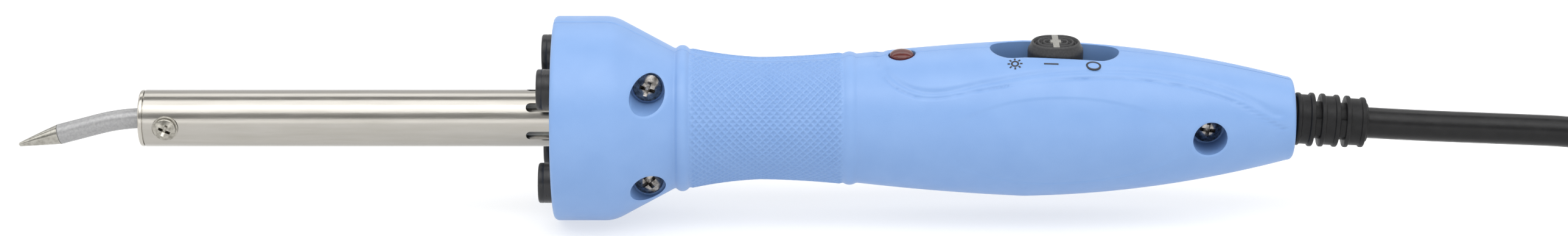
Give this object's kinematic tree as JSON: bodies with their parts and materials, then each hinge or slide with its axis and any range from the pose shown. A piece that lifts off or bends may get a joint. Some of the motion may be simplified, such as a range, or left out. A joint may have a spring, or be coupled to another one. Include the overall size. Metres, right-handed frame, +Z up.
{
  "type": "soldering iron",
  "caption": "Mains soldering iron with bent removable tip, slide switch, work lamps round the barrel, and a cord with a flat two-pin plug.",
  "frame": {"origin": "middle of the iron's length (tip to strain relief) and width, on the surface that it rests on", "axes": "+X along the iron from the tip towards the cord, +Z up through the switch, +Y to the side away from the case screws"},
  "size_m": [0.592, 0.0448, 0.0402],
  "materials": {
    "shell": "fine matt texture",
    "case_screw": "blackened",
    "barrel": "brushed stainless, slightly warm",
    "nose": "turned",
    "tip": "grey coat, bright tinned cone",
    "clamp_screw": "nickel plated",
    "washer": "plain",
    "heater_steel": "plain",
    "winding": "oxidised resistance wire on mica",
    "mica": "flaky",
    "ceramic": "unglazed ceramic",
    "lead_metal": "plain",
    "fibreglass": "braided",
    "lamp_tube": "satin black",
    "led": "clear",
    "board": "solder mask",
    "lamp_wire": "insulation",
    "capacitor": "dipped",
    "resistor": "lacquered",
    "component_black": "moulded",
    "lens": "dark red, polished",
    "indicator_bulb": "clear",
    "knob": "satin black",
    "carriage": "moulded",
    "contact": "plain",
    "live_wire": "brown insulation",
    "neutral_wire": "blue insulation",
    "strain_relief": "matt moulded",
    "cord": "satin black sheath",
    "tie": "woven strap",
    "plug": "moulded",
    "plug_bridge": "hard insert",
    "pin": "nickel plated"
  },
  "bodies": {
    "handle": {"left_shell": "shell", "right_shell": "shell", "case_screws": "case_screw", "barrel": "barrel", "barrel_nose": "nose", "tip_screw_washer": "washer", "heater_tube": "heater_steel", "heater_winding": "winding", "mica_sleeve": "mica", "heater_can": "heater_steel", "heater_bush": "ceramic", "heater_leads": "lead_metal", "lead_sleeves": "fibreglass", "led_tube_1": "lamp_tube", "led_tube_2": "lamp_tube", "led_tube_3": "lamp_tube", "led_tube_4": "lamp_tube", "led_1": "led", "led_2": "led", "led_3": "led", "led_4": "led", "led_board": "board", "led_wires": "lamp_wire", "control_board": "board", "board_capacitor": "capacitor", "board_resistors": "resistor", "rectifier": "component_black", "indicator_lens": "lens", "indicator_lamp": "indicator_bulb", "switch_housing": "component_black", "switch_contacts": "contact", "live_wire": "live_wire", "neutral_wire": "neutral_wire", "cord_clamp": "carriage", "clamp_screws": "contact", "strain_relief": "strain_relief", "cord_inside": "cord", "cord": "cord", "cord_hank": "cord", "cord_tail": "cord", "hank_tie": "tie", "plug_body": "plug", "plug_bridge": "plug_bridge", "plug_pins": "pin"},
    "tip": {"tip": "tip"},
    "tip_screw": {"tip_screw": "clamp_screw"},
    "switch_slider": {"switch_knob": "knob", "switch_carriage": "carriage"}
  },
  "joints": [
    {"name": "switch_slide", "type": "slide", "parent": "handle", "child": "switch_slider", "axis": [1, 0, 0], "range_m": [-0.0068, 0.0068]},
    {"name": "tip_slide", "type": "slide", "parent": "handle", "child": "tip", "axis": [-1, 0, 0], "range_m": [0, 0.046]},
    {"name": "tip_screw_turn", "type": "hinge", "parent": "handle", "child": "tip_screw", "pos_m": [-0.103, 0, 0.0201], "axis": [0, -1, 0], "range_deg": [0, 240]}
  ]
}
